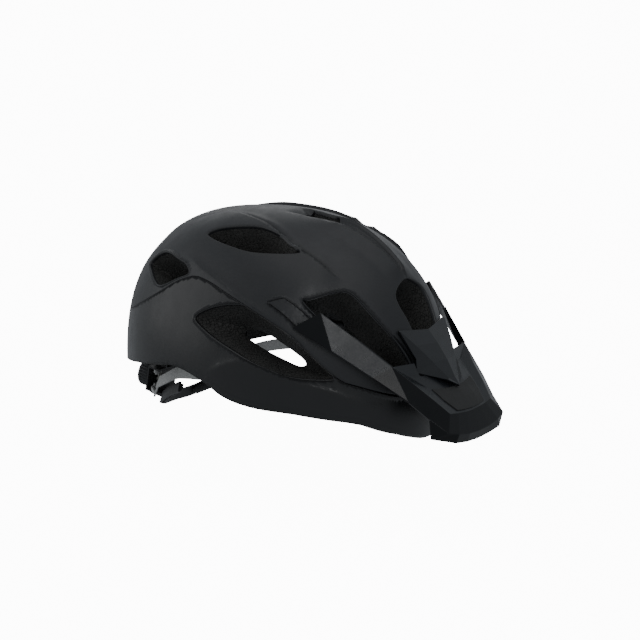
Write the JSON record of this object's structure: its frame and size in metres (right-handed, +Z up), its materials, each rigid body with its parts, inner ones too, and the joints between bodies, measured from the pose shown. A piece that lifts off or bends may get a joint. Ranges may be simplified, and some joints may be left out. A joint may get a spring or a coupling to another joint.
{
  "type": "cycling helmet",
  "caption": "Open-face off-road cycling helmet: foam liner in two bonded skins, tilting visor, dial-tightened cradle, pads and buckled chin straps tucked inside.",
  "frame": {"origin": "centre of the head opening at the level of the brow rim, on the mid-plane", "axes": "-Y the way the wearer faces, +X the wearer's left, +Z up with the rim level"},
  "size_m": [0.2136, 0.3413, 0.2042],
  "materials": {
    "foam": "matte bead foam",
    "upper_shell": "matte",
    "lower_shell": "gloss",
    "visor": "satin",
    "panel": "dead matte",
    "insert": "matte",
    "trim": "semi-gloss",
    "steel": "brushed",
    "headband": "satin",
    "nylon": "satin",
    "housing": "matte",
    "cradle": "matte",
    "pinion": "satin",
    "knob": "matte rubberised",
    "padding": "knitted fabric over foam",
    "webbing": "woven",
    "buckle": "satin",
    "keeper": "matte"
  },
  "bodies": {
    "helmet": {"eps_liner": "foam", "upper_shell": "upper_shell", "lower_shell": "lower_shell", "visor_mounts": "insert", "visor_screws": "steel", "visor_covers": "trim", "headband": "headband", "temple_pins": "nylon", "height_guide": "nylon", "forehead_pad": "padding", "crown_pads": "padding", "side_pads": "padding", "rear_pads": "padding", "strap_anchors": "insert"},
    "visor": {"visor_frame": "visor", "visor_panel": "panel", "visor_bosses": "visor"},
    "fit_frame": {"temple_bands": "nylon", "height_strip": "nylon"},
    "right_band": {"right_band": "nylon"},
    "left_band": {"left_band": "nylon"},
    "cradle": {"dial_housing": "housing", "housing_cover": "housing", "cradle": "cradle", "cradle_pads": "padding"},
    "dial": {"pinion": "pinion", "dial_knob": "knob", "dial_screw": "steel"},
    "right_strap_set": {"right_straps": "webbing", "right_divider": "buckle", "right_chin_strap": "webbing", "buckle_socket": "buckle", "strap_keeper": "keeper"},
    "left_strap_set": {"left_straps": "webbing", "left_divider": "buckle", "left_chin_strap": "webbing", "buckle_plug": "buckle", "chin_pad": "padding"}
  },
  "joints": [
    {"name": "visor_tilt", "type": "hinge", "parent": "helmet", "child": "visor", "pos_m": [0, -0.07, 0.087], "axis": [-1, 0, 0], "range_deg": [0, 15]},
    {"name": "height_adjust", "type": "hinge", "parent": "helmet", "child": "fit_frame", "pos_m": [0, -0.0255, 0.02906], "axis": [1, 0, 0], "range_deg": [-5, 1]},
    {"name": "left_band_flex", "type": "hinge", "parent": "fit_frame", "child": "left_band", "pos_m": [0.0742, 0.03208, 0.01896], "axis": [0, 0, 1], "range_deg": [-5.3, 5.3]},
    {"name": "right_band_flex", "type": "hinge", "parent": "fit_frame", "child": "right_band", "pos_m": [-0.0742, 0.03208, 0.01896], "axis": [0, 0, 1], "range_deg": [-5.3, 5.3]},
    {"name": "cradle_reach", "type": "slide", "parent": "fit_frame", "child": "cradle", "axis": [0, 1, 0], "range_m": [-0.0069, 0.0069]},
    {"name": "dial_turn", "type": "hinge", "parent": "cradle", "child": "dial", "pos_m": [0, 0.1375, -0.028], "axis": [0, 1, 0], "range_deg": [-100, 100]},
    {"name": "left_strap_swing", "type": "hinge", "parent": "helmet", "child": "left_strap_set", "pos_m": [0.07017, 0.00273, 0.04482], "axis": [0.1808, -0.9727, 0.1457], "range_deg": [0, 140]},
    {"name": "right_strap_swing", "type": "hinge", "parent": "helmet", "child": "right_strap_set", "pos_m": [-0.07017, 0.00273, 0.04482], "axis": [0.1808, 0.9727, -0.1457], "range_deg": [0, 140]}
  ],
  "couplings": [
    {"joint": "left_band_flex", "follows": "dial_turn", "ratio": -0.05166},
    {"joint": "right_band_flex", "follows": "dial_turn", "ratio": 0.05166},
    {"joint": "cradle_reach", "follows": "dial_turn", "m_per_rad": 0.0038333}
  ]
}
